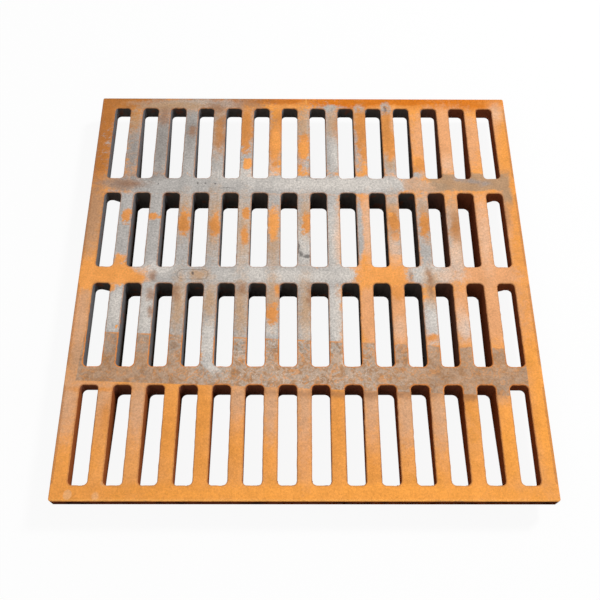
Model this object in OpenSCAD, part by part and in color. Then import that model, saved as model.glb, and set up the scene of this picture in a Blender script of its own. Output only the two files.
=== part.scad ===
// Square cast-iron drain grate: one casting that drops into a frame over a gully.
// Long slots in rows let water through, and deep tapered ribs carry the wheel load.
// X runs across the slots, Y along them, and the tread is on top.
// The origin is the middle of the outline, level with the underside of the ribs.

/* [Slot pattern] */
// Slots side by side in one row
slots_per_row = 14; // [4:2:20]
// Width of a slot at the tread
slot_w = 22.1; // [18:0.1:30]
// Width of the bar between two slots at the tread
bar_w = 19.8; // [14:0.2:28]
// Length of the slots in the two outer rows
outer_slot_l = 126; // [90:1:170]
// Length of the slots in the two inner rows
inner_slot_l = 119; // [90:1:170]
// Width of the cross bars at the tread
cross_w = 26.6; // [20:0.2:40]
// Corner radius of a slot at the tread
slot_r = 5; // [4:0.5:8]

/* [Rim] */
// Width of the rim beside the end slots
side_rim_w = 21.4; // [18:0.1:40]
// Width of the rim beyond the outer rows
end_rim_w = 19.9; // [18:0.1:40]
// Depth of the rim, which sits in the frame
rim_d = 21.5; // [18:0.5:28]
// Radius of the four outer corners
corner_r = 4; // [2:0.5:8]
// Radius of the rounded edge round the tread
edge_r = 1.6; // [0.8:0.2:2.4]

/* [Ribs] */
// Depth of the ribs under the middle of the grate
rib_d = 44.5; // [36:0.5:60]
// Draft of every cast wall, in degrees
draft = 3; // [1:0.25:4]
// Width of the chamfer round each slot at the tread
mouth_c = 0.8; // [0.4:0.1:1.4]
// Slope of the haunches that carry the cross bars to the side rim, in degrees
haunch_deg = 35; // [25:1:50]
// Width of the level part of a haunch beside the side rim
haunch_flat = 8; // [4:0.5:12]

/* [Hidden] */
$fn = 28;

rows = 4;
// How far a cutter runs past the casting, so that no two faces lie in one plane
over = 1;
// Depth of the chamfer, which falls steeper than 45 degrees
mouth_d = mouth_c * 1.25;
taper = tan(draft);

pitch = slot_w + bar_w;
grid_w = slots_per_row * slot_w + (slots_per_row - 1) * bar_w;
grid_l = 2 * outer_slot_l + 2 * inner_slot_l + (rows - 1) * cross_w;
grate_w = grid_w + 2 * side_rim_w;
grate_l = grid_l + 2 * end_rim_w;

// Level of the rim's underside above the ribs' underside
rim_z = rib_d - rim_d;
// Distance from the middle to the middle of an outer cross bar
outer_cross_y = cross_w + inner_slot_l;
// Distance from the middle to the middle of a slot, for inner and outer rows
inner_row_y = (cross_w + inner_slot_l) / 2;
outer_row_y = outer_cross_y + (cross_w + outer_slot_l) / 2;
// Distance from the middle to the outer face of the first and last long bar
end_bar_x = grid_w / 2 - slot_w;
// Where the haunches leave the side rim
haunch_x = grid_w / 2 - haunch_flat;

// Tread, rim and full-depth ribs before the slots are cut
module casting_body() {
    intersection() {
        drafted_block();
        rib_profile_along();
        rib_profile_across();
    }
}

// Outer block of the casting with its drafted sides, rounded corners and rounded top edge
module drafted_block() {
    intersection() {
        rounded_sides();
        drafted_along_x();
        drafted_along_y();
    }
}

// Plan outline with round corners, full height
module rounded_sides() {
    linear_extrude(height = rib_d)
        union() {
            square([grate_w - 2 * corner_r, grate_l], center = true);
            square([grate_w, grate_l - 2 * corner_r], center = true);
            for (sx = [-1, 1])
                for (sy = [-1, 1])
                    translate([sx * (grate_w / 2 - corner_r), sy * (grate_l / 2 - corner_r)])
                        circle(r = corner_r);
        }
}

// Section of a side: drafted walls and a top edge rounded by an arc that is tangent to both faces
module side_section(half) {
    foot = half - rib_d * taper;
    arc_x = half - edge_r * (taper + 1 / cos(draft));
    arc_z = rib_d - edge_r;
    wall_x = arc_x + edge_r * cos(draft);
    wall_z = arc_z - edge_r * sin(draft);
    union() {
        polygon([
            [-foot, 0],
            [foot, 0],
            [wall_x, wall_z],
            [arc_x, rib_d],
            [-arc_x, rib_d],
            [-wall_x, wall_z]
        ]);
        for (side = [-1, 1])
            translate([side * arc_x, arc_z])
                circle(r = edge_r);
    }
}

// Extrusion of a section drawn in X and Z, centred along Y
module along_y(length) {
    translate([0, length / 2, 0])
        rotate([90, 0, 0])
            linear_extrude(height = length)
                children();
}

// Extrusion of a section drawn in Y and Z, centred along X
module along_x(length) {
    rotate([0, 0, 90])
        along_y(length)
            children();
}

module drafted_along_y() {
    along_y(grate_l + 2 * over)
        side_section(grate_w / 2);
}

module drafted_along_x() {
    along_x(grate_w + 2 * over)
        side_section(grate_l / 2);
}

// Underside seen from the side: full depth in the middle, tapering to the rim at both ends
module rib_profile_along() {
    full = outer_cross_y;
    end = grid_l / 2;
    past = grate_l / 2 + over;
    along_x(grate_w + 4 * over)
        polygon([
            [-past, rib_d + over],
            [-past, rim_z],
            [-end, rim_z],
            [-full, 0],
            [full, 0],
            [end, rim_z],
            [past, rim_z],
            [past, rib_d + over]
        ]);
}

// Underside seen from the front: ribs full depth, haunches rising to the side rim
module rib_profile_across() {
    foot = haunch_x - rim_z / tan(haunch_deg);
    past = grate_w / 2 + over;
    along_y(grate_l + 4 * over)
        polygon([
            [-past, rib_d + over],
            [-past, rim_z],
            [-haunch_x, rim_z],
            [-foot, 0],
            [foot, 0],
            [haunch_x, rim_z],
            [past, rim_z],
            [past, rib_d + over]
        ]);
}

// Outer halves of the outer cross bars, which have no haunch and stop at the rim's depth
module haunch_relief() {
    reach = grid_w / 2 - end_bar_x;
    for (sx = [-1, 1])
        for (sy = [-1, 1])
            translate([
                sx * (end_bar_x + reach / 2),
                sy * (outer_cross_y + grate_l / 2),
                rim_z / 2 - over
            ])
                cube([reach, grate_l, rim_z + 2 * over], center = true);
}

// One slot, wider below than at the tread by the draft, with round corners and a chamfered mouth
module slot_cut(length) {
    flare = (rib_d - mouth_d + over) * taper;
    core_w = slot_w - 2 * slot_r;
    core_l = length - 2 * slot_r;
    union() {
        along_y(core_l)
            flared_section(slot_w / 2, flare);
        along_x(core_w)
            flared_section(length / 2, flare);
        for (sx = [-1, 1])
            for (sy = [-1, 1])
                translate([sx * core_w / 2, sy * core_l / 2, 0])
                    corner_cut(flare);
    }
}

// Section of a slot: wide at the underside, narrow at the tread, opening again at the mouth
module flared_section(half, flare) {
    polygon([
        [-half - flare, -over],
        [half + flare, -over],
        [half, rib_d - mouth_d],
        [half + mouth_c, rib_d],
        [half + mouth_c, rib_d + over],
        [-half - mouth_c, rib_d + over],
        [-half - mouth_c, rib_d],
        [-half, rib_d - mouth_d]
    ]);
}

// Round corner of a slot, revolved from the same section
module corner_cut(flare) {
    rotate_extrude()
        polygon([
            [0, -over],
            [slot_r + flare, -over],
            [slot_r, rib_d - mouth_d],
            [slot_r + mouth_c, rib_d],
            [slot_r + mouth_c, rib_d + over],
            [0, rib_d + over]
        ]);
}

// All slots, row by row
module slots() {
    for (side = [-1, 1])
        for (i = [0 : slots_per_row - 1])
            translate([(i - (slots_per_row - 1) / 2) * pitch, 0, 0]) {
                translate([0, side * inner_row_y, 0])
                    slot_cut(inner_slot_l);
                translate([0, side * outer_row_y, 0])
                    slot_cut(outer_slot_l);
            }
}

module grate() {
    color([0.72, 0.47, 0.28])
        difference() {
            casting_body();
            slots();
            haunch_relief();
        }
}

grate();
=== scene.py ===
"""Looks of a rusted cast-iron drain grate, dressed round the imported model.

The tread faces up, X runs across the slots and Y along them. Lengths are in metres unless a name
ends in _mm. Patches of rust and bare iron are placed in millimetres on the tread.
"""

import logging
import math
from dataclasses import dataclass
from enum import Enum
from typing import Callable, Sequence

import bpy
from mathutils import Matrix, Vector

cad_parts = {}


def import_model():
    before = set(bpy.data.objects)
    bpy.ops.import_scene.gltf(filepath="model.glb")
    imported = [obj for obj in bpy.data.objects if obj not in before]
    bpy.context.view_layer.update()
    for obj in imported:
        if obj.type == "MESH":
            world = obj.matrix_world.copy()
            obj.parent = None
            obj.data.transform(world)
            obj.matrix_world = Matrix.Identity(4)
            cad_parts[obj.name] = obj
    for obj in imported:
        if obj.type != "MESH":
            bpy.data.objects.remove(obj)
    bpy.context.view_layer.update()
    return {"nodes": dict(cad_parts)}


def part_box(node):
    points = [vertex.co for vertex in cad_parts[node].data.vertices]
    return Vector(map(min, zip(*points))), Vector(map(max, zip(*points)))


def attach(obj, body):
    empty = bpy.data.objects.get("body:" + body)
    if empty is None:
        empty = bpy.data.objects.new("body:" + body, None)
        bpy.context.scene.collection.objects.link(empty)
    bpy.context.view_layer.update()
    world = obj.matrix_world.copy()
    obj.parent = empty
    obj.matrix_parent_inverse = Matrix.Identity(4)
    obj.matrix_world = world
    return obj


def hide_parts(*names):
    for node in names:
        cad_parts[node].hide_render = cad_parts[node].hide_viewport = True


LOG = logging.getLogger("drain_grate")
MM = 0.001

Colour = tuple[float, float, float]
Point = tuple[float, float, float]
Socket = bpy.types.NodeSocket
Value = float | Colour | Socket


class Shape(Enum):
    """Outline of a patch."""

    ROUND = "round"
    SQUARE = "square"


def srgb(red: int, green: int, blue: int) -> Colour:
    """Turn a colour as seen on screen into the linear values that shaders take.

    Args:
        red: Red from 0 to 255.
        green: Green from 0 to 255.
        blue: Blue from 0 to 255.

    Returns:
        Linear red, green and blue from 0 to 1.
    """

    def linear(value: int) -> float:
        """Linear value of one channel."""
        part = value / 255
        return part / 12.92 if part <= 0.04045 else ((part + 0.055) / 1.055) ** 2.4

    return linear(red), linear(green), linear(blue)


@dataclass(frozen=True)
class Patch:
    """A patch on the tread: its middle and half-sizes in millimetres, and how soft its edge is."""

    x: float
    y: float
    half_x: float
    half_y: float
    soft: float = 0.35
    shape: Shape = Shape.ROUND


@dataclass(frozen=True)
class Coat:
    """One colour laid over the casting where its patches are."""

    colour: Colour
    patches: tuple[Patch, ...]
    strength: float = 1.0
    ragged: float = 0.5


@dataclass
class Graph:
    """Short-hand for building the node graph of a material or a world."""

    owner: bpy.types.ID

    def add(self, kind: str, **settings: object) -> bpy.types.Node:
        """Add a node.

        Args:
            kind: Blender's name of the node type.
            settings: Properties of the node to set.

        Returns:
            The new node.
        """
        node = self.owner.node_tree.nodes.new(kind)
        for name, value in settings.items():
            setattr(node, name, value)
        return node

    def link(self, source: Socket, target: Socket) -> None:
        """Join an output to an input."""
        self.owner.node_tree.links.new(source, target)

    def feed(self, target: Socket, value: Value) -> None:
        """Link a socket to an input, or write a plain value on it."""
        if isinstance(value, Socket):
            self.link(value, target)
        else:
            target.default_value = value

    def maths(self, operation: str, first: Value, second: Value = 0.0) -> Socket:
        """Arithmetic on two numbers.

        Args:
            operation: Name of the operation.
            first: First number or socket.
            second: Second number or socket.

        Returns:
            The result socket.
        """
        node = self.add("ShaderNodeMath", operation=operation)
        self.feed(node.inputs[0], first)
        self.feed(node.inputs[1], second)
        return node.outputs[0]

    def vector(self, operation: str, first: Value, second: Value | None = None) -> Socket:
        """Arithmetic on one or two vectors.

        Args:
            operation: Name of the operation.
            first: First vector or socket.
            second: Second vector or socket, if the operation takes one.

        Returns:
            The result socket, a number for a length.
        """
        node = self.add("ShaderNodeVectorMath", operation=operation)
        self.feed(node.inputs[0], first)
        if second is not None:
            self.feed(node.inputs[1], second)
        return node.outputs["Value" if operation == "LENGTH" else "Vector"]

    def scaled(self, vector: Value, factor: Value) -> Socket:
        """Multiply a vector or a colour by a number."""
        node = self.add("ShaderNodeVectorMath", operation="SCALE")
        self.feed(node.inputs["Vector"], vector)
        self.feed(node.inputs["Scale"], factor)
        return node.outputs["Vector"]

    def parts(self, vector: Value) -> tuple[Socket, Socket, Socket]:
        """Split a vector into its X, Y and Z."""
        node = self.add("ShaderNodeSeparateXYZ")
        self.feed(node.inputs[0], vector)
        return node.outputs[0], node.outputs[1], node.outputs[2]

    def reach(self, across: Value, along: Value) -> Socket:
        """Length of a step with these parts along X and Y."""
        step = self.add("ShaderNodeCombineXYZ")
        self.feed(step.inputs[0], across)
        self.feed(step.inputs[1], along)
        return self.vector("LENGTH", step.outputs[0])

    def noise(
        self, where: Value, scale: float, detail: float = 3.0, rough: float = 0.55
    ) -> bpy.types.Node:
        """Cloudy noise.

        Args:
            where: Coordinates to read it at.
            scale: Waves to one unit of the coordinates.
            detail: Number of finer layers.
            rough: Weight of the finer layers.

        Returns:
            The noise node.
        """
        node = self.add("ShaderNodeTexNoise")
        self.feed(node.inputs["Vector"], where)
        node.inputs["Scale"].default_value = scale
        node.inputs["Detail"].default_value = detail
        node.inputs["Roughness"].default_value = rough
        return node

    def ramp(
        self, value: Value, low: float, high: float, start: float = 0.0, end: float = 1.0
    ) -> Socket:
        """Smooth step from start to end as value runs from low to high.

        Args:
            value: Number or socket to map.
            low: Value that gives start.
            high: Value that gives end.
            start: Result at low.
            end: Result at high.

        Returns:
            The mapped socket.
        """
        node = self.add("ShaderNodeMapRange", interpolation_type="SMOOTHSTEP", clamp=False)
        self.feed(node.inputs["Value"], value)
        node.inputs["From Min"].default_value = low
        node.inputs["From Max"].default_value = high
        node.inputs["To Min"].default_value = start
        node.inputs["To Max"].default_value = end
        return node.outputs["Result"]

    def mix(self, share: Value, below: Value, above: Value) -> Socket:
        """Lay one colour over another.

        Args:
            share: How much of the upper colour shows.
            below: Lower colour.
            above: Upper colour.

        Returns:
            The colour socket.
        """
        node = self.add("ShaderNodeMix", data_type="RGBA")
        self.feed(node.inputs["Factor"], share)
        for socket, value in ((node.inputs[6], below), (node.inputs[7], above)):
            self.feed(socket, (*value, 1.0) if isinstance(value, tuple) else value)
        return node.outputs[2]


# Coats of the tread, from the first laid to the last
BACK_RUST = Coat(
    srgb(212, 116, 22),
    (
        Patch(152, 300, 152, 8, 0.45, Shape.SQUARE),
        Patch(62, 296, 60, 10, 0.4),
        Patch(-36, 301, 50, 7, 0.6),
        Patch(240, 292, 66, 8, 1.0),
    ),
    strength=0.95,
)
GOLD = Coat(
    srgb(232, 152, 70),
    (
        Patch(-168, -225, 10, 40, 1.0),
        Patch(-126, -215, 10, 56, 0.8),
        Patch(-84, -250, 9, 34, 1.0),
        Patch(42, -205, 9, 40, 0.7),
        Patch(84, -262, 9, 22, 1.0),
        Patch(209, -178, 9, 18, 0.9),
        Patch(-300, -95, 5, 30, 0.8),
        Patch(-180, -292, 110, 10, 0.9),
        Patch(296, 110, 9, 150, 0.8),
    ),
    strength=0.7,
    ragged=0.7,
)
BRIGHT = Coat(
    srgb(251, 166, 72),
    (
        Patch(60, -296, 240, 13, 0.5),
        Patch(298, -205, 9, 100, 0.8),
        Patch(251, -235, 9, 40, 0.9),
    ),
    strength=0.8,
    ragged=0.7,
)
BROWN = Coat(
    srgb(184, 116, 56),
    (
        Patch(-302, 245, 27, 115, 0.45),
        Patch(-262, 298, 70, 15, 0.4),
        Patch(-256, 262, 12, 28, 0.8),
        Patch(-120, 301, 90, 7, 0.7),
    ),
)
DULL = Coat(
    srgb(182, 139, 105),
    (
        Patch(-298, 92, 17, 58, 0.6),
        Patch(-268, 152, 26, 13, 0.8),
        Patch(-292, -120, 12, 26, 0.9),
    ),
    strength=0.9,
)
PINK = Coat(
    srgb(228, 166, 119),
    (
        Patch(212, 228, 58, 60, 0.3),
        Patch(284, 262, 8, 26, 0.9),
        Patch(283, 90, 9, 52, 0.7),
        Patch(232, 62, 52, 74, 0.4),
        Patch(250, 0, 45, 22, 0.25),
        Patch(240, -55, 55, 52, 0.5),
        Patch(92, 76, 15, 64, 0.35),
        Patch(88, -60, 14, 46, 0.35),
        Patch(127, -60, 14, 50, 0.35),
        Patch(-298, -62, 14, 44, 0.7),
        Patch(-276, -160, 22, 9, 0.8),
        Patch(-250, -182, 9, 24, 0.9),
        Patch(-209, -195, 9, 36, 0.9),
        Patch(-42, -190, 9, 34, 0.9),
        Patch(-84, -182, 9, 30, 1.0),
        Patch(0, -208, 9, 58, 0.8),
        Patch(84, -196, 9, 40, 0.8),
        Patch(126, -196, 10, 40, 0.8),
        Patch(168, -200, 9, 44, 1.0),
        Patch(-296, -185, 12, 40, 1.0),
    ),
    strength=0.85,
    ragged=0.7,
)
DUSTY = Coat(
    srgb(208, 166, 132),
    (
        Patch(-251, -176, 11, 26, 0.9),
        Patch(-209, -182, 11, 36, 0.9),
        Patch(-84, -176, 11, 20, 0.9),
        Patch(-42, -186, 11, 34, 0.9),
        Patch(0, -188, 9, 30, 0.9),
        Patch(84, -180, 11, 28, 0.9),
        Patch(126, -190, 11, 36, 0.9),
        Patch(168, -188, 11, 36, 0.9),
        Patch(-298, -180, 12, 34, 1.0),
        Patch(250, -166, 12, 14, 0.9),
        Patch(-292, -60, 8, 90, 1.0),
    ),
    strength=0.6,
    ragged=1.1,
)
IRON = Coat(
    srgb(182, 177, 172),
    (
        Patch(-150, 218, 118, 76, 0.25),
        Patch(-160, 292, 72, 10, 0.6),
        Patch(35, 222, 62, 62, 0.25),
        Patch(40, 284, 12, 8, 0.4),
        Patch(84, 284, 9, 9, 0.4),
        Patch(124, 282, 8, 14, 0.25),
        Patch(126, 183, 11, 22, 0.4),
        Patch(150, 168, 25, 12, 0.5),
        Patch(112, 146, 42, 17, 0.3),
        Patch(129, 62, 12, 50, 0.4),
        Patch(170, 66, 15, 66, 0.4),
        Patch(207, 52, 13, 50, 0.6),
        Patch(129, 42, 12, 14, 0.8),
        Patch(126, 120, 12, 12, 0.8),
        Patch(40, 0, 32, 17, 0.2),
        Patch(170, 0, 35, 17, 0.3),
        Patch(77, 68, 6, 58, 0.4),
        Patch(170, -66, 12, 34, 0.5),
        Patch(-118, -130, 18, 24, 0.2),
    ),
    ragged=0.75,
)
MIDDLE_IRON = Coat(
    srgb(182, 177, 172),
    (
        Patch(-64, 146, 190, 16, 0.1, Shape.SQUARE),
        Patch(-159, 72, 115, 62, 0.08, Shape.SQUARE),
        Patch(-8, 72, 58, 62, 0.15, Shape.SQUARE),
        Patch(-95, 0, 119, 15, 0.1, Shape.SQUARE),
        Patch(-156, -62, 114, 52, 0.08, Shape.SQUARE),
        Patch(-18, -62, 66, 52, 0.15, Shape.SQUARE),
    ),
    ragged=0.16,
)
LIGHT_IRON = Coat(
    srgb(213, 206, 198),
    (
        Patch(45, 148, 112, 12, 0.6),
        Patch(-60, 0, 24, 12, 0.8),
        Patch(-84, 165, 40, 12, 1.0),
        Patch(62, 0, 20, 12, 0.8),
        Patch(-20, -2, 90, 9, 1.0),
        Patch(42, -62, 9, 40, 0.4),
        Patch(170, -68, 10, 28, 0.9),
        Patch(-209, -55, 9, 36, 0.8),
        Patch(-251, -48, 9, 30, 0.9),
        Patch(-126, -98, 9, 34, 0.3),
        Patch(-113, -134, 12, 16, 0.6),
        Patch(-42, -82, 8, 10, 0.8),
        Patch(4, -82, 8, 12, 0.8),
        Patch(42, 60, 9, 50, 0.9),
        Patch(0, 55, 9, 34, 1.0),
        Patch(-84, 60, 9, 50, 1.0),
        Patch(168, 2, 34, 13, 0.7),
        Patch(210, 34, 8, 20, 0.8),
        Patch(210, -78, 8, 14, 0.9),
        Patch(-196, 9, 22, 9, 1.0),
        Patch(47, 204, 6, 24, 1.0),
    ),
    strength=0.85,
    ragged=0.8,
)
DARK_IRON = Coat(
    srgb(146, 139, 133),
    (
        Patch(-209, 226, 12, 56, 0.6),
        Patch(-168, 245, 11, 36, 0.9),
        Patch(-251, 205, 9, 42, 0.8),
        Patch(-228, 163, 34, 9, 0.9),
        Patch(-205, 286, 34, 12, 0.8),
        Patch(-258, 146, 26, 9, 0.8),
        Patch(-126, 262, 9, 26, 0.9),
    ),
    strength=0.8,
    ragged=0.7,
)
TAN = Coat(
    srgb(198, 153, 108),
    (
        Patch(-253, 262, 8, 20, 0.9),
        Patch(-126, 245, 9, 40, 0.9),
        Patch(-84, 265, 9, 22, 0.9),
        Patch(0, 248, 9, 36, 0.8),
        Patch(42, 256, 8, 22, 1.0),
        Patch(84, 268, 9, 12, 0.8),
        Patch(-168, 94, 9, 30, 0.9),
        Patch(-126, 84, 9, 44, 0.9),
        Patch(-84, 70, 9, 46, 0.9),
        Patch(-42, 58, 9, 40, 0.9),
        Patch(3, 92, 9, 30, 0.8),
        Patch(126, 84, 9, 36, 0.8),
        Patch(170, 90, 8, 30, 0.9),
        Patch(212, 75, 9, 42, 0.9),
        Patch(-168, -45, 9, 40, 0.8),
        Patch(-126, -40, 9, 26, 0.8),
        Patch(-84, -50, 9, 40, 0.8),
        Patch(-42, -38, 9, 34, 0.8),
        Patch(2, -50, 9, 40, 0.9),
        Patch(171, -26, 8, 20, 0.8),
        Patch(173, -6, 12, 12, 1.0),
        Patch(-142, 0, 14, 8, 0.7),
        Patch(126, 188, 8, 16, 0.9),
        Patch(-190, 290, 60, 9, 0.9),
    ),
    strength=0.72,
    ragged=1.2,
)
STAIN = Coat(
    srgb(158, 112, 78),
    (
        Patch(-209, 270, 8, 14, 0.9),
        Patch(-166, 242, 6, 9, 0.6),
        Patch(-121, 256, 7, 15, 0.7),
        Patch(-121, 228, 7, 15, 0.7),
        Patch(-132, 287, 18, 9, 0.8),
        Patch(-84, 292, 26, 7, 0.9),
        Patch(-250, 148, 20, 6, 0.9),
        Patch(-205, -3, 5, 8, 0.7),
        Patch(-206, -30, 6, 9, 0.8),
        Patch(-204, -55, 4, 8, 0.8),
        Patch(-172, -28, 5, 10, 0.9),
        Patch(-84, -20, 7, 8, 0.9),
        Patch(8, -30, 4, 14, 0.9),
        Patch(172, -22, 4, 9, 0.9),
        Patch(145, -3, 3, 9, 0.8),
        Patch(171, -3, 4, 12, 0.8),
        Patch(213, 76, 6, 20, 0.8),
        Patch(284, 95, 6, 18, 0.9),
        Patch(84, -170, 120, 5, 1.0),
        Patch(210, -172, 40, 5, 0.9),
    ),
    strength=0.7,
    ragged=1.0,
)
ORANGE = Coat(
    srgb(226, 149, 78),
    (
        Patch(-86, 244, 10, 42, 0.3),
        Patch(-43, 222, 10, 34, 0.25),
        Patch(-34, 262, 5, 22, 0.4),
        Patch(0, 213, 10, 24, 0.3),
        Patch(-6, 178, 3, 4, 0.4),
        Patch(-42, 182, 4, 5, 0.4),
        Patch(86, 246, 9, 40, 0.3),
        Patch(89, 205, 5, 14, 0.4),
        Patch(126, 240, 10, 40, 0.25),
        Patch(129, 200, 6, 10, 0.5),
        Patch(170, 183, 9, 14, 0.25),
        Patch(160, 174, 7, 6, 0.4),
        Patch(-249, 93, 7, 11, 0.12),
        Patch(-213, 94, 8, 6, 0.3),
        Patch(-203, 92, 6, 3, 0.5),
        Patch(-167, 85, 8, 21, 0.3),
        Patch(-124, 80, 6, 20, 0.4),
        Patch(-81, 98, 5, 10, 0.3),
        Patch(-82, 62, 5, 14, 0.5),
        Patch(4, 82, 6, 18, 0.3),
        Patch(127, 84, 8, 16, 0.3),
        Patch(128, 60, 6, 6, 0.3),
        Patch(170, 80, 6, 20, 0.4),
        Patch(240, 150, 4, 4, 0.4),
        Patch(-42, -58, 8, 14, 0.3),
        Patch(-36, -24, 4, 8, 0.7),
        Patch(168, -92, 9, 5, 0.6),
        Patch(126, -25, 10, 12, 0.4),
        Patch(-262, -165, 34, 3, 0.9),
        Patch(-246, -200, 8, 20, 1.0),
    ),
    strength=0.95,
    ragged=1.15,
)
BURNT = Coat(
    srgb(198, 130, 66),
    (
        Patch(-84, 250, 9, 34, 1.0),
        Patch(-42, 262, 9, 18, 1.0),
        Patch(86, 246, 9, 44, 1.0),
        Patch(126, 252, 8, 36, 1.0),
        Patch(-126, 236, 7, 28, 1.0),
        Patch(50, 250, 5, 20, 1.0),
        Patch(127, 82, 8, 20, 0.9),
        Patch(170, 80, 7, 22, 0.9),
        Patch(212, 72, 7, 20, 0.9),
        Patch(-168, 78, 7, 12, 0.9),
        Patch(-126, 74, 6, 12, 0.9),
    ),
    strength=0.62,
    ragged=1.0,
)
VIVID = Coat(
    srgb(242, 162, 84),
    (
        Patch(-82, 184, 6, 10, 0.12),
        Patch(-41, 222, 6, 24, 0.6),
        Patch(0, 208, 7, 15, 0.6),
        Patch(-43, 82, 8, 26, 0.4),
        Patch(122, 97, 3, 4, 0.2),
        Patch(-247, -77, 2, 3, 0.2),
        Patch(-290, 0, 20, 24, 0.2, Shape.SQUARE),
        Patch(-256, 2, 20, 17, 0.2, Shape.SQUARE),
        Patch(-252, 24, 9, 8, 0.3),
        Patch(-232, -7, 16, 10, 0.25),
        Patch(-262, -18, 10, 7, 0.4),
        Patch(106, 0, 34, 17, 0.15, Shape.SQUARE),
        Patch(86, 22, 9, 11, 0.4),
        Patch(126, 24, 9, 10, 0.3),
        Patch(104, -16, 14, 8, 0.4),
    ),
    strength=0.95,
    ragged=0.8,
)
PALE = Coat(
    srgb(228, 186, 154),
    (
        Patch(90, 76, 7, 46, 0.6),
        Patch(126, 40, 9, 20, 0.8),
        Patch(209, 32, 10, 22, 0.8),
        Patch(251, 58, 9, 46, 0.9),
        Patch(207, -68, 7, 24, 0.9),
        Patch(210, 182, 9, 16, 0.9),
        Patch(200, 0, 18, 10, 0.8),
        Patch(126, -80, 9, 14, 0.9),
        Patch(48, 58, 6, 26, 0.9),
        Patch(136, 262, 4, 18, 0.9),
        Patch(292, 278, 8, 14, 0.9),
    ),
    strength=0.7,
    ragged=0.9,
)
SMEAR_EDGE = Coat(
    srgb(202, 164, 134),
    (
        Patch(160, 148, 18, 11, 0.2),
        Patch(186, 142, 20, 9, 0.3),
    ),
    strength=0.85,
    ragged=0.5,
)
SMEAR = Coat(
    srgb(170, 142, 114),
    (
        Patch(240, 152, 54, 15, 0.14, Shape.SQUARE),
        Patch(290, 142, 7, 26, 0.45, Shape.SQUARE),
        Patch(196, 158, 18, 8, 0.4),
    ),
    strength=0.85,
    ragged=0.3,
)
SMEAR_GREY = Coat(
    srgb(150, 146, 146),
    (
        Patch(226, 158, 9, 5, 0.7),
        Patch(244, 154, 12, 4, 0.7),
        Patch(262, 150, 9, 4, 0.9),
    ),
    strength=0.6,
    ragged=0.9,
)
SCUFF = Coat(
    srgb(92, 88, 86),
    (
        Patch(-8, 42, 2, 8, 0.6),
        Patch(-4, 33, 3, 5, 0.6),
        Patch(4, 29, 6, 2.6, 0.6),
        Patch(12, 163, 4, 3, 0.7),
        Patch(18, 158, 3, 2, 0.8),
        Patch(-209, 149, 1.2, 1.2, 0.5),
        Patch(-153, 148, 1.6, 1.6, 0.5),
        Patch(-141, 149, 1.3, 1.3, 0.5),
        Patch(-126, 149, 1.3, 1.3, 0.5),
        Patch(-112, 140.4, 10, 0.6, 0.5),
        Patch(123, 284, 1.6, 5, 0.8),
        Patch(-150, 2, 1.6, 2.2, 0.6),
        Patch(-189, -304, 2.6, 1.6, 0.5),
        Patch(176, -304.4, 17, 1.2, 0.5),
    ),
    strength=0.75,
    ragged=0.6,
)
DISCS = Coat(
    srgb(240, 190, 142),
    (
        Patch(-282, -297, 5, 6, 0.15),
        Patch(-249, -299, 4, 5, 0.4),
        Patch(-240, -283, 4, 3, 0.6),
    ),
    strength=0.5,
    ragged=0.2,
)
# Painted highlight along the front edge, where its rounding would catch light; the coat also holds
# a short bright mark on the back edge
PAINTED_EDGE_HIGHLIGHT = Coat(
    srgb(255, 186, 100),
    (
        Patch(0, -303.4, 300, 0.9, 0.5, Shape.SQUARE),
        Patch(4, 300, 0.7, 6, 0.4, Shape.SQUARE),
    ),
    strength=0.6,
    ragged=0.0,
)
# Dark line along parts of the back edge
BACK_EDGE_DARK_LINE = Coat(
    srgb(70, 52, 42),
    (
        Patch(-172, 305, 95, 1.5, 0.3, Shape.SQUARE),
        Patch(132, 305, 14, 1.2, 0.3, Shape.SQUARE),
    ),
    strength=0.7,
    ragged=0.2,
)


@dataclass(frozen=True)
class GroundBand:
    """Band over the third cross bar that was wiped with a swirling tool, leaving dry brown mud.

    Its four edges are straight, and one bar in it is wiped clean down to a slanted end.
    """

    left_mm: float = -291
    left_slant: float = 0.06
    right_mm: float = 285
    top_mm: float = -96.3
    top_fall: float = -0.0436
    bottom_mm: float = -163
    bottom_fall: float = -0.036
    edge_mm: float = 0.7
    clean_x_mm: float = -126
    clean_half_mm: float = 9.5
    clean_end_mm: float = -128
    middle_mm: float = -20
    colour: Colour = srgb(178, 141, 110)
    dark: Colour = srgb(156, 122, 94)
    grey: Colour = srgb(186, 172, 158)
    pale: Colour = srgb(212, 198, 184)
    orange: Colour = srgb(222, 148, 82)


@dataclass(frozen=True)
class SlotGrid:
    """Outlines of the slots on the tread: spacing, half-width, corner radius and rows.

    Each row gives the distance of its middle from the grate's middle, and its half-length.
    """

    pitch_mm: float = 41.9
    half_mm: float = 12.4
    round_mm: float = 6.3
    rows_mm: tuple[tuple[float, float], ...] = ((72.8, 60.8), (221.9, 64.3))


@dataclass(frozen=True)
class Grain:
    """Sizes of the tread's noise, in waves to a millimetre."""

    cloud: float = 0.05
    cloud_shift_mm: float = 11
    edge: float = 0.13
    edge_strength: float = 2.6
    broad: float = 0.012
    drift: float = 0.03
    mottle: float = 0.03
    sand: float = 0.36
    wide: float = 0.07
    wall: float = 0.05
    chip: float = 0.2


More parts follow.
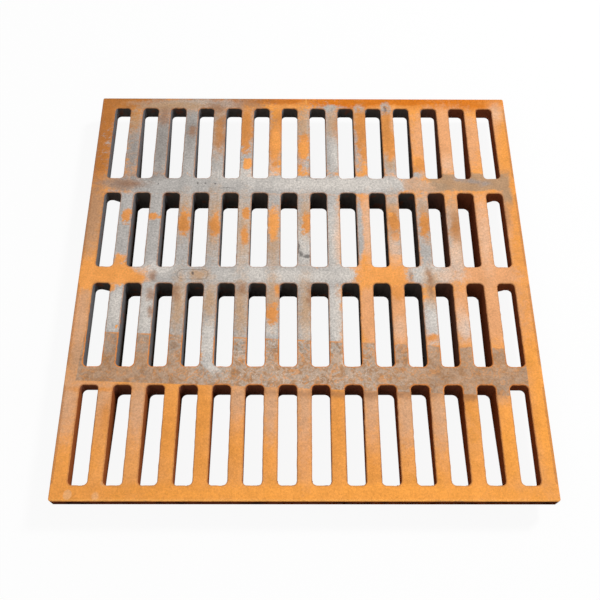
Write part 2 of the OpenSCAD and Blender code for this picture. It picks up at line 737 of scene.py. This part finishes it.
@dataclass(frozen=True)
class CastIronFinish:
    """Rusted sand-cast iron: rust and bare metal on the tread, nearly black walls in the slots."""

    tread_z: float
    half: float
    rust: Colour = srgb(242, 161, 79)
    rust_pink: Colour = srgb(236, 162, 92)
    rust_gold: Colour = srgb(233, 155, 70)
    edge_rust: Colour = srgb(234, 152, 84)
    wall: Colour = srgb(84, 77, 72)
    # Painted shadow on the lower part of the walls that face right
    wall_painted_shadow: Colour = srgb(62, 50, 42)
    wall_rust: Colour = srgb(136, 72, 38)
    # Painted shadow on the lower part of the rusty walls that face right
    wall_rust_painted_shadow: Colour = srgb(104, 56, 32)
    # Painted light on the upper part of the walls that face right, plain and rusty
    wall_lit: Colour = srgb(130, 128, 130)
    wall_rust_lit: Colour = srgb(174, 98, 54)
    flank: Colour = srgb(96, 44, 20)
    flank_dark: Colour = srgb(44, 20, 12)
    mouth_rust: Colour = srgb(228, 138, 62)
    # Dirt and painted shade in a narrow band along the slot mouths
    mouth_grime_and_shade: Colour = srgb(120, 98, 82)
    # Painted shade in the groove along the outline of the pill-shaped cast mark
    groove_shade: Colour = srgb(126, 108, 94)
    pill_mm: tuple[float, float, float, float] = (-151, 0.5, 13.5, 7.4)
    smooth_ragged: float = 0.25
    slots: SlotGrid = SlotGrid()
    band: GroundBand = GroundBand()
    grain: Grain = Grain()
    under_band: tuple[Coat, ...] = (
        BACK_RUST,
        GOLD,
        BRIGHT,
        BROWN,
        DULL,
        PINK,
        DUSTY,
        IRON,
        MIDDLE_IRON,
        LIGHT_IRON,
        DARK_IRON,
        TAN,
        STAIN,
        ORANGE,
        BURNT,
    )
    over_band: tuple[Coat, ...] = (
        VIVID,
        PALE,
        SMEAR_EDGE,
        SMEAR,
        SMEAR_GREY,
        SCUFF,
        DISCS,
        PAINTED_EDGE_HIGHLIGHT,
        BACK_EDGE_DARK_LINE,
    )

    def patch_mask(self, graph: Graph, where: Value, patch: Patch, rough: Value) -> Socket:
        """Where one patch shows.

        Args:
            graph: Graph to add to.
            where: Position in millimetres, with no height.
            patch: The patch.
            rough: Number that breaks the patch's edge.

        Returns:
            A socket from 0 outside to 1 inside.
        """
        away = graph.vector("SUBTRACT", where, (patch.x, patch.y, 0))
        span = graph.vector("DIVIDE", away, (patch.half_x, patch.half_y, 1))
        if patch.shape is Shape.ROUND:
            reach = graph.vector("LENGTH", span)
        else:
            across, along, _ = graph.parts(graph.vector("ABSOLUTE", span))
            reach = graph.maths("MAXIMUM", across, along)
        reach = graph.maths("ADD", reach, rough)
        return graph.ramp(reach, 1 + patch.soft, 1 - patch.soft)

    def coat_mask(self, graph: Graph, where: Value, coat: Coat, grain: Value) -> Socket:
        """Where a coat shows, the union of its patches.

        Args:
            graph: Graph to add to.
            where: Position in millimetres, with no height.
            coat: The coat.
            grain: Noise about zero that breaks its edges.

        Returns:
            A socket from 0 to the coat's strength.
        """
        rough = graph.maths("MULTIPLY", grain, coat.ragged)
        total = None
        for patch in coat.patches:
            mask = self.patch_mask(graph, where, patch, rough)
            total = mask if total is None else graph.maths("MAXIMUM", total, mask)
        return graph.maths("MULTIPLY", total, coat.strength)

    def band_edges(self, graph: Graph, where: Value) -> tuple[Socket, Socket]:
        """Where the wiped band shows: straight edges that fall slightly to the right.

        Args:
            graph: Graph to add to.
            where: Position in millimetres.

        Returns:
            The band's mask from 0 to 1, and the distance below its top edge in millimetres.
        """
        band = self.band
        edge = band.edge_mm
        x, y, _ = graph.parts(where)
        top = graph.maths("ADD", graph.maths("MULTIPLY", x, band.top_fall), band.top_mm)
        bottom = graph.maths("ADD", graph.maths("MULTIPLY", x, band.bottom_fall), band.bottom_mm)
        below = graph.maths("SUBTRACT", top, y)
        above = graph.maths("SUBTRACT", y, bottom)
        left = graph.maths("SUBTRACT", x, graph.maths("MULTIPLY", y, band.left_slant))
        left_edge = band.left_mm - band.left_slant * band.bottom_mm
        mask = graph.ramp(below, -edge, edge)
        for side in (
            graph.ramp(above, -edge, edge),
            graph.ramp(left, left_edge - edge, left_edge + edge),
            graph.ramp(x, band.right_mm + edge, band.right_mm - edge),
        ):
            mask = graph.maths("MULTIPLY", mask, side)
        return graph.maths("MULTIPLY", mask, self.band_dirty(graph, x, y)), below

    def band_dirty(self, graph: Graph, x: Value, y: Value) -> Socket:
        """Where the band is not wiped clean: all but one bar, whose clean streak slants at its end.

        Args:
            graph: Graph to add to.
            x: Position across, in millimetres.
            y: Position along, in millimetres.

        Returns:
            A socket from 0 on the clean bar to 1.
        """
        band = self.band
        slide = graph.maths("MAXIMUM", graph.maths("SUBTRACT", band.clean_end_mm, y), 0)
        side = graph.maths("SUBTRACT", graph.maths("SUBTRACT", x, band.clean_x_mm), slide)
        side = graph.maths("ABSOLUTE", side)
        clean = graph.ramp(side, band.clean_half_mm, band.clean_half_mm - 3)
        clean = graph.maths("MULTIPLY", clean, graph.ramp(slide, 20, 6))
        return graph.maths("SUBTRACT", 1, clean)

    def swirls(self, graph: Graph, where: Value, scale: float, low: float, high: float) -> Socket:
        """Soft curling streaks, as a stiff brush leaves them.

        Args:
            graph: Graph to add to.
            where: Position in millimetres.
            scale: Curls to a millimetre.
            low: Noise value below which there is no streak.
            high: Noise value above which the streak is full.

        Returns:
            A socket from 0 to 1.
        """
        curls = graph.noise(where, scale, 4, 0.7)
        curls.inputs["Distortion"].default_value = 1.8
        return graph.ramp(curls.outputs[0], low, high)

    def band_colour(self, graph: Graph, where: Value, below: Value, depth: Value) -> Socket:
        """Mud with the streaks that the wiping left in it, most of them in the middle.

        Args:
            graph: Graph to add to.
            where: Position in millimetres.
            below: Colour under the mud.
            depth: Distance below the band's top edge.

        Returns:
            The colour socket.
        """
        band = self.band
        x, _, _ = graph.parts(where)
        away = graph.maths("ABSOLUTE", graph.maths("SUBTRACT", x, band.middle_mm))
        middle = graph.ramp(away, 210, 60)
        mottle = graph.noise(where, self.grain.mottle, 5, 0.7)
        colour = graph.mix(graph.ramp(mottle.outputs[0], 0.4, 0.6), band.colour, band.dark)
        for tone, shift, scale, low, high, more, base in (
            (band.grey, (0, 0, 0), 0.07, 0.4, 0.54, 0.55, 0.35),
            (band.pale, (57, 91, 0), 0.11, 0.55, 0.64, 0.7, 0.0),
            (band.orange, (-190, 33, 0), 0.08, 0.53, 0.6, 0.15, 0.4),
        ):
            moved = graph.vector("ADD", where, shift)
            share = graph.maths("ADD", graph.maths("MULTIPLY", middle, more), base)
            streaks = self.swirls(graph, moved, scale, low, high)
            colour = graph.mix(graph.maths("MULTIPLY", streaks, share), colour, tone)
        colour = graph.mix(0.12, colour, below)
        broken = graph.ramp(graph.noise(where, self.grain.mottle, 2, 0.5).outputs[0], 0.45, 0.55)
        line = graph.maths("MULTIPLY", graph.ramp(depth, 2.4, 1.0), broken)
        return graph.mix(graph.maths("MULTIPLY", line, 0.9), colour, band.orange)

    def mouth_gap(self, graph: Graph, where: Value) -> Socket:
        """Distance on the tread from the nearest slot, a rectangle with round corners.

        Args:
            graph: Graph to add to.
            where: Position in millimetres.

        Returns:
            A socket in millimetres, above zero outside the slot.
        """
        slots = self.slots
        x, y, _ = graph.parts(where)
        from_bar = graph.maths("PINGPONG", x, slots.pitch_mm / 2)
        core = slots.pitch_mm / 2 - slots.half_mm + slots.round_mm
        across = graph.maths("SUBTRACT", core, from_bar)
        from_middle = graph.maths("ABSOLUTE", y)
        along = None
        for middle, half in slots.rows_mm:
            off = graph.maths("ABSOLUTE", graph.maths("SUBTRACT", from_middle, middle))
            past = graph.maths("SUBTRACT", off, half - slots.round_mm)
            along = past if along is None else graph.maths("MINIMUM", along, past)
        reach = graph.reach(graph.maths("MAXIMUM", across, 0), graph.maths("MAXIMUM", along, 0))
        return graph.maths("SUBTRACT", reach, slots.round_mm)

    def pill_gap(self, graph: Graph, where: Value) -> Socket:
        """Distance from the outline of the pill-shaped cast mark on the middle cross bar.

        Args:
            graph: Graph to add to.
            where: Position in millimetres.

        Returns:
            A socket in millimetres, zero on the outline.
        """
        middle_x, middle_y, half_length, radius = self.pill_mm
        x, y, _ = graph.parts(where)
        off = graph.maths("ABSOLUTE", graph.maths("SUBTRACT", x, middle_x))
        across = graph.maths("MAXIMUM", graph.maths("SUBTRACT", off, half_length), 0)
        reach = graph.reach(across, graph.maths("SUBTRACT", y, middle_y))
        return graph.maths("ABSOLUTE", graph.maths("SUBTRACT", reach, radius))

    def tread_colour(self, graph: Graph, where: Value) -> Socket:
        """Colour of the tread with all its coats.

        Args:
            graph: Graph to add to.
            where: Position in millimetres, with no height.

        Returns:
            The colour socket.
        """
        size = self.grain
        cloud = graph.noise(where, size.cloud, 4, 0.6)
        shift = graph.vector("SUBTRACT", cloud.outputs["Color"], (0.5, 0.5, 0.5))
        shift = graph.vector("MULTIPLY", shift, (size.cloud_shift_mm, size.cloud_shift_mm, 0))
        warped = graph.vector("ADD", where, shift)
        fine = graph.maths("SUBTRACT", graph.noise(where, size.edge, 7, 0.75).outputs[0], 0.5)
        grain = graph.maths("MULTIPLY", fine, size.edge_strength)
        broad = graph.noise(where, size.broad, 3, 0.5)
        colour = graph.mix(graph.ramp(broad.outputs[0], 0.42, 0.62), self.rust, self.rust_pink)
        drift = graph.noise(where, size.drift, 4, 0.6)
        colour = graph.mix(graph.ramp(drift.outputs[0], 0.5, 0.68, 0, 0.8), colour, self.rust_gold)
        for coat in self.under_band:
            colour = graph.mix(self.coat_mask(graph, warped, coat, grain), colour, coat.colour)
        mask, depth = self.band_edges(graph, where)
        colour = graph.mix(mask, colour, self.band_colour(graph, where, colour, depth))
        for coat in self.over_band:
            place = warped if coat.ragged > self.smooth_ragged else where
            colour = graph.mix(self.coat_mask(graph, place, coat, grain), colour, coat.colour)
        # A narrow band along each slot mouth is darkened with dirt and painted shade, then partly
        # rusted over
        gap = graph.maths("ADD", self.mouth_gap(graph, where), graph.maths("MULTIPLY", grain, 0.8))
        edge = graph.ramp(gap, 1.3, 0.2)
        colour = graph.mix(graph.maths("MULTIPLY", edge, 0.35), colour, self.mouth_grime_and_shade)
        muddy = graph.maths("ADD", graph.maths("MULTIPLY", mask, 0.6), 0.2)
        colour = graph.mix(graph.maths("MULTIPLY", muddy, edge), colour, self.mouth_rust)
        # Painted shade drawn along the outline of the pill-shaped cast mark
        pill = graph.ramp(self.pill_gap(graph, where), 0.9, 0.2, 0, 0.55)
        return self.speckle(graph, where, graph.mix(pill, colour, self.groove_shade))

    def speckle(self, graph: Graph, where: Value, colour: Value) -> Socket:
        """Lighter and darker grains of sand-cast skin, strongest on grey iron.

        Args:
            graph: Graph to add to.
            where: Position in millimetres.
            colour: Colour to break up.

        Returns:
            The colour socket.
        """
        sand = graph.noise(where, self.grain.sand, 5, 0.85)
        wide = graph.noise(where, self.grain.wide, 3, 0.6)
        channels = graph.add("ShaderNodeSeparateColor")
        graph.link(colour, channels.inputs[0])
        greyness = graph.maths("DIVIDE", channels.outputs[2], channels.outputs[0])
        reach = graph.ramp(greyness, 0.1, 0.7, 0.34, 0.66)
        tone = graph.maths("MULTIPLY", graph.ramp(sand.outputs[0], 0.3, 0.7, -0.5, 0.5), reach)
        tone = graph.maths("ADD", tone, 1.0)
        tone = graph.maths("MULTIPLY", tone, graph.ramp(wide.outputs[0], 0.3, 0.7, 0.94, 1.06))
        return graph.scaled(colour, tone)

    def wall_colour(self, graph: Graph, place: Value, where: Value) -> Socket:
        """Colour of the slots' walls and of the outer sides.

        The walls are brown towards the front and the right. Those that face right get painted light
        on their upper part and painted shadow lower down.

        Args:
            graph: Graph to add to.
            place: Position in metres.
            where: Position in millimetres.

        Returns:
            The colour socket.
        """
        x, y, height = graph.parts(place)
        facing, _, _ = graph.parts(graph.add("ShaderNodeTexCoord").outputs["Normal"])
        left_wall = graph.ramp(facing, 0.3, 0.8)
        blotch = graph.noise(where, self.grain.wall, 5, 0.7).outputs[0]
        # Walls that face right get painted light on their upper part and painted shadow below it,
        # where a neighbouring bar would shade them
        deep = graph.ramp(height, self.tread_z - 0.012, self.tread_z - 0.032)
        iron = graph.mix(left_wall, self.wall, graph.mix(deep, self.wall_lit, self.wall_painted_shadow))
        lit_rust = graph.mix(deep, self.wall_rust_lit, self.wall_rust_painted_shadow)
        rusty = graph.mix(left_wall, self.wall_rust, lit_rust)
        front = graph.ramp(y, -0.14, -0.17)
        right = graph.ramp(x, 0.14, 0.25, 0.0, 0.85)
        spots = graph.ramp(blotch, 0.54, 0.66, 0.0, 0.5)
        share = graph.maths("MAXIMUM", graph.maths("MAXIMUM", front, right), spots)
        wall = graph.mix(share, iron, rusty)
        out = graph.maths("MAXIMUM", graph.maths("ABSOLUTE", x), graph.maths("ABSOLUTE", y))
        outer = graph.ramp(out, self.half - 0.005, self.half - 0.003)
        flank = graph.mix(graph.ramp(blotch, 0.4, 0.62), self.flank, self.flank_dark)
        return graph.mix(outer, wall, flank)

    def make(self) -> bpy.types.Material:
        """Build the material.

        Returns:
            The finished material.
        """
        material = bpy.data.materials.new("rusted_cast_iron")
        material.use_nodes = True
        material.node_tree.nodes.clear()
        graph = Graph(material)
        place = graph.add("ShaderNodeTexCoord").outputs["Object"]
        where = graph.scaled(place, 1 / MM)
        _, _, height = graph.parts(place)
        top = self.tread_z
        tread = self.tread_colour(graph, graph.vector("MULTIPLY", where, (1, 1, 0)))
        chip = graph.noise(where, self.grain.chip, 4, 0.7).outputs[0]
        rim = graph.ramp(height, top - 0.00025, top - 0.0008)
        rust_line = graph.maths("MULTIPLY", rim, graph.ramp(chip, 0.42, 0.6, 0.1, 0.75))
        tread = graph.mix(rust_line, tread, self.edge_rust)
        wobble = graph.maths("MULTIPLY", graph.maths("SUBTRACT", chip, 0.5), 0.0016)
        level = graph.maths("ADD", height, wobble)
        wall = self.wall_colour(graph, place, where)
        colour = graph.mix(graph.ramp(level, top - 0.0008, top - 0.0013), tread, wall)
        shader = graph.add("ShaderNodeBsdfPrincipled")
        graph.link(colour, shader.inputs["Base Color"])
        sheen = graph.ramp(height, top - 0.0015, top - 0.0005, 0.0, 0.12)
        graph.link(sheen, shader.inputs["Specular IOR Level"])
        rough = graph.noise(place, 900, 3, 0.6)
        graph.link(graph.ramp(rough.outputs[0], 0.3, 0.7, 0.62, 0.9), shader.inputs["Roughness"])
        graph.link(self.bumps(graph, place), shader.inputs["Normal"])
        output = graph.add("ShaderNodeOutputMaterial")
        graph.link(shader.outputs[0], output.inputs["Surface"])
        return material

    def bumps(self, graph: Graph, place: Value) -> Socket:
        """Sand-cast grain over shallow waves.

        Args:
            graph: Graph to add to.
            place: Position in metres.

        Returns:
            The normal socket.
        """
        normal = None
        for scale, depth in ((45.0, 0.0012), (260.0, 0.0006), (900.0, 0.00035)):
            node = graph.add("ShaderNodeBump")
            node.inputs["Strength"].default_value = 0.8
            node.inputs["Distance"].default_value = depth
            graph.link(graph.noise(place, scale, 3, 0.6).outputs[0], node.inputs["Height"])
            if normal is not None:
                graph.link(normal, node.inputs["Normal"])
            normal = node.outputs[0]
        return normal


def deselect() -> None:
    """Leave nothing selected."""
    for item in list(bpy.context.selected_objects):
        item.select_set(False)


def only(piece: bpy.types.Object) -> None:
    """Select one object alone and make it active."""
    deselect()
    piece.select_set(True)
    bpy.context.view_layer.objects.active = piece


def edit_faces(piece: bpy.types.Object, work: Callable[[], None]) -> None:
    """Run operators on a whole mesh in edit mode.

    Args:
        piece: Object whose mesh is edited.
        work: Calls the operators.
    """
    only(piece)
    bpy.ops.object.mode_set(mode="EDIT")
    bpy.ops.mesh.select_all(action="SELECT")
    work()
    bpy.ops.object.mode_set(mode="OBJECT")


def select_none(piece: bpy.types.Object, kind: str) -> None:
    """Leave no part of a mesh selected, and set what its edit mode selects.

    Args:
        piece: Object whose mesh is meant.
        kind: VERT or EDGE.
    """
    only(piece)
    bpy.ops.object.mode_set(mode="EDIT")
    bpy.ops.mesh.select_mode(type=kind)
    bpy.ops.mesh.select_all(action="DESELECT")


def apply_modifier(piece: bpy.types.Object, name: str) -> None:
    """Apply a modifier by name."""
    only(piece)
    bpy.ops.object.modifier_apply(modifier=name)


@dataclass
class Grate:
    """The casting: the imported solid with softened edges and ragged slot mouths."""

    node: bpy.types.Object
    low: Vector
    high: Vector
    slots_across: int = 14
    pitch: float = 0.0419
    weld: float = 2e-6
    flat_deg: float = 0.5
    soft_edge: float = 0.0004
    sharp_deg: float = 30
    smooth_deg: float = 30
    crease_deg: float = 3
    long_edge: float = 0.006
    mouth_depth: float = 0.0016
    rim_width: float = 0.0165
    cuts: int = 18
    wear: float = 0.0012
    wear_size: float = 0.007
    least_share: float = 0.01
    hair: float = 0.000004
    drop: float = 1e-7

    def copy_solid(self) -> bpy.types.Object:
        """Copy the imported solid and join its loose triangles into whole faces.

        Returns:
            The copy, which is a closed mesh.
        """
        piece = self.node.copy()
        piece.data = self.node.data.copy()
        piece.name = "dressed_grate"
        piece.parent = None
        for key in list(piece.keys()):
            del piece[key]
        bpy.context.scene.collection.objects.link(piece)

        def join_triangles() -> None:
            """Split the tread through every slot, so that no face has a hole, and join the rest."""
            bpy.ops.mesh.customdata_custom_splitnormals_clear()
            bpy.ops.mesh.remove_doubles(threshold=self.weld)
            for index in range(self.slots_across):
                x = (index - (self.slots_across - 1) / 2) * self.pitch
                bpy.ops.mesh.select_all(action="SELECT")
                bpy.ops.mesh.bisect(plane_co=(x, 0, 0), plane_no=(1, 0, 0))
                bpy.ops.mesh.mark_seam()
            bpy.ops.mesh.select_all(action="SELECT")
            flat = math.radians(self.flat_deg)
            bpy.ops.mesh.dissolve_limited(angle_limit=flat, delimit={"SEAM"})

        edit_faces(piece, join_triangles)
        return piece

    def soften(self, piece: bpy.types.Object) -> None:
        """Round every sharp edge a little."""
        bevel = piece.modifiers.new("soft_edges", "BEVEL")
        bevel.width = self.soft_edge
        bevel.segments = 2
        bevel.limit_method = "ANGLE"
        bevel.angle_limit = math.radians(self.sharp_deg)
        bevel.use_clamp_overlap = False
        apply_modifier(piece, "soft_edges")

    def at_mouth(self, point: Vector) -> bool:
        """Whether a point is on the rounded edge of a slot's mouth."""
        inside_x = abs(point.x) < self.high.x - self.rim_width
        inside_y = abs(point.y) < self.high.y - self.rim_width
        return inside_x and inside_y and point.z > self.high.z - self.mouth_depth

    def cut_mouths(self, piece: bpy.types.Object) -> None:
        """Cut the long edges of the slots' mouths into short ones."""
        select_none(piece, "EDGE")
        bpy.ops.mesh.edges_select_sharp(sharpness=math.radians(self.crease_deg))
        bpy.ops.object.mode_set(mode="OBJECT")
        mesh = piece.data
        chosen = []
        for edge in mesh.edges:
            start, end = (mesh.vertices[index].co for index in edge.vertices)
            long = (start - end).length > self.long_edge
            chosen.append(edge.select and long and self.at_mouth(start) and self.at_mouth(end))
        mesh.polygons.foreach_set("select", [False] * len(mesh.polygons))
        mesh.vertices.foreach_set("select", [False] * len(mesh.vertices))
        mesh.edges.foreach_set("select", chosen)
        bpy.ops.object.mode_set(mode="EDIT")
        bpy.ops.mesh.subdivide(number_cuts=self.cuts)
        bpy.ops.object.mode_set(mode="OBJECT")

    def mouth_side(self, point: Vector) -> tuple[float, float]:
        """Which way a point of a slot's mouth faces away from the slot.

        Args:
            point: A vertex of the mouth.

        Returns:
            Shares of a unit step along X and Y.
        """
        slots = SlotGrid()
        pitch, turn = slots.pitch_mm * MM, slots.round_mm * MM
        off_x = (point.x % pitch) - pitch / 2
        middle, half = min(slots.rows_mm, key=lambda row: abs(abs(point.y) - row[0] * MM))
        off_y = abs(point.y) - middle * MM
        over_x = max(abs(off_x) - (slots.half_mm * MM - turn), 0.0)
        over_y = max(abs(off_y) - (half * MM - turn), 0.0)
        reach = math.hypot(over_x, over_y) or 1.0
        side_y = math.copysign(1.0, off_y) * math.copysign(1.0, point.y)
        return math.copysign(over_x / reach, off_x), side_y * over_y / reach

    def open_mouths(self, piece: bpy.types.Object) -> None:
        """Wear the mouths' edges back unevenly, as a sand mould and traffic leave them."""
        mouths = [vertex for vertex in piece.data.vertices if self.at_mouth(vertex.co)]
        sides = [(vertex.index, self.mouth_side(vertex.co)) for vertex in mouths]
        for number, axis in enumerate(("X", "Y")):
            for sign in (-1, 1):
                name = f"worn_{axis.lower()}_{'up' if sign > 0 else 'down'}"
                group = piece.vertex_groups.new(name=name)
                for index, side in sides:
                    share = sign * side[number]
                    if share > self.least_share:
                        group.add([index], share, "REPLACE")
                clouds = bpy.data.textures.new(name, "CLOUDS")
                clouds.noise_scale = self.wear_size
                clouds.noise_depth = 3
                shift = piece.modifiers.new(name, "DISPLACE")
                shift.texture = clouds
                shift.texture_coords = "LOCAL"
                shift.direction = axis
                shift.mid_level = 0.0
                shift.strength = sign * self.wear
                shift.vertex_group = name
                apply_modifier(piece, name)

    def level_top(self, piece: bpy.types.Object) -> None:
        """Set the tread's vertices on the tread's own level, which the bevel passes by a hair."""
        select_none(piece, "VERT")
        bpy.ops.object.mode_set(mode="OBJECT")
        level = self.high.z - self.hair
        vertices = piece.data.vertices
        vertices.foreach_set("select", [vertex.co.z > level for vertex in vertices])
        bpy.ops.object.mode_set(mode="EDIT")
        middle = (0, 0, self.high.z - self.drop)
        bpy.ops.transform.resize(value=(1, 1, 0), center_override=middle, orient_type="GLOBAL")
        bpy.ops.object.mode_set(mode="OBJECT")

    def build(self) -> bpy.types.Object:
        """Build, dress and register the casting.

        Returns:
            The dressed piece.
        """
        piece = self.copy_solid()
        LOG.info("solid copied: %d faces", len(piece.data.polygons))
        self.soften(piece)
        LOG.info("edges softened: %d faces", len(piece.data.polygons))
        self.cut_mouths(piece)
        self.open_mouths(piece)
        self.level_top(piece)
        LOG.info("mouths worn: %d faces", len(piece.data.polygons))
        only(piece)
        bpy.ops.object.shade_smooth_by_angle(angle=math.radians(self.smooth_deg))
        piece.data.materials.clear()
        piece.data.materials.append(CastIronFinish(self.high.z, self.high.x).make())
        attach(piece, "root")
        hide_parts("grate")
        return piece


@dataclass
class Studio:
    """Pale floor, soft lamps and the photograph's camera."""

    tread_z: float
    eye_mm: Point = (-11.06, -508.45, 949.94)
    aim_mm: Point = (-5.43, -38.2, 0.0)
    roll_deg: float = 0.725
    focal_px: float = 794.4
    image_px: float = 600
    sensor_mm: float = 36
    floor_size: float = 8
    floor_gap: float = 0.0001
    floor_colour: Colour = (0.9, 0.9, 0.9)
    floor_glow: float = 0.92
    near_gaps: float = 10
    world_light: float = 0.38

    def camera(self) -> None:
        """Place the camera where the photograph was taken from, measured from the tread."""
        data = bpy.data.cameras.new("view")
        data.sensor_width = self.sensor_mm
        data.lens = self.focal_px * self.sensor_mm / self.image_px
        eye = bpy.data.objects.new("view", data)
        bpy.context.scene.collection.objects.link(eye)
        tread = Vector((0, 0, self.tread_z))
        place = Vector(self.eye_mm) * MM + tread
        look = Vector(self.aim_mm) * MM + tread - place
        turn = look.to_track_quat("-Z", "Y").to_matrix().to_4x4()
        roll = Matrix.Rotation(math.radians(self.roll_deg), 4, "Z")
        eye.matrix_world = Matrix.Translation(place) @ turn @ roll
        bpy.context.scene.camera = eye

    def seen(self, graph: Graph) -> Socket:
        """Whether a ray comes from the camera, straight, off a sheen or through glass.

        Args:
            graph: Graph to add to.

        Returns:
            A socket that is 1 for such a ray.
        """
        path = graph.add("ShaderNodeLightPath").outputs
        ray = graph.maths("MAXIMUM", path["Is Camera Ray"], path["Is Glossy Ray"])
        return graph.maths("MAXIMUM", ray, path["Is Transmission Ray"])

    def floor(self) -> None:
        """Lay a pale floor, white to the camera, that keeps the shadow and is clear from below.

        It is clear to the shortest rays too, so that light reaches the ribs' undersides.
        """
        deselect()
        bpy.ops.mesh.primitive_plane_add(size=self.floor_size, location=(0, 0, -self.floor_gap))
        plane = bpy.context.object
        plane.name = "floor"
        material = bpy.data.materials.new("floor_white")
        material.use_nodes = True
        material.node_tree.nodes.clear()
        graph = Graph(material)
        matt = graph.add("ShaderNodeBsdfDiffuse")
        matt.inputs["Color"].default_value = (*self.floor_colour, 1)
        glow = graph.add("ShaderNodeEmission")
        white = graph.add("ShaderNodeMixShader")
        graph.link(graph.maths("MULTIPLY", self.seen(graph), self.floor_glow), white.inputs[0])
        graph.link(matt.outputs[0], white.inputs[1])
        graph.link(glow.outputs[0], white.inputs[2])
        under = graph.add("ShaderNodeNewGeometry").outputs["Backfacing"]
        length = graph.add("ShaderNodeLightPath").outputs["Ray Length"]
        near = graph.maths("LESS_THAN", length, self.floor_gap * self.near_gaps)
        open_side = graph.add("ShaderNodeMixShader")
        graph.link(graph.maths("MAXIMUM", under, near), open_side.inputs[0])
        graph.link(white.outputs[0], open_side.inputs[1])
        graph.link(graph.add("ShaderNodeBsdfTransparent").outputs[0], open_side.inputs[2])
        output = graph.add("ShaderNodeOutputMaterial")
        graph.link(open_side.outputs[0], output.inputs["Surface"])
        plane.data.materials.append(material)

    def lamp(self, name: str, place: Point, size: float, power: float) -> None:
        """Hang a square soft lamp aimed at the grate.

        Args:
            name: Name of the lamp.
            place: Where it hangs.
            size: Length of its side.
            power: Watts.
        """
        data = bpy.data.lights.new(name, "AREA")
        data.size = size
        data.energy = power
        item = bpy.data.objects.new(name, data)
        bpy.context.scene.collection.objects.link(item)
        spot = Vector(place)
        turn = (-spot).to_track_quat("-Z", "Y").to_matrix().to_4x4()
        item.matrix_world = Matrix.Translation(spot) @ turn

    def light(self) -> None:
        """Light the grate from high at the back right, with a soft fill from the world."""
        self.lamp("key", (1.8, 1.1, 2.4), 0.5, 66)
        self.lamp("fill", (-1.0, -1.2, 2.4), 1.6, 12)
        world = bpy.data.worlds.new("studio")
        bpy.context.scene.world = world
        world.use_nodes = True
        graph = Graph(world)
        back = world.node_tree.nodes["Background"]
        back.inputs["Color"].default_value = (1, 1, 1, 1)
        power = graph.maths("MAXIMUM", self.seen(graph), self.world_light)
        graph.link(power, back.inputs["Strength"])

    def build(self) -> None:
        """Set up the whole studio."""
        self.camera()
        self.floor()
        self.light()
        bpy.context.scene.view_settings.view_transform = "Standard"


def main() -> None:
    """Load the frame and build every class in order."""
    logging.basicConfig(level=logging.INFO, format="%(message)s")
    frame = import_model()
    low, high = (Vector(point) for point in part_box("grate"))
    Studio(high.z).build()
    piece = Grate(frame["nodes"]["grate"], low, high).build()
    triangles = sum(len(face.vertices) - 2 for face in piece.data.polygons)
    LOG.info("%s: %d triangles", piece.name, triangles)


if __name__ == "__main__":
    main()
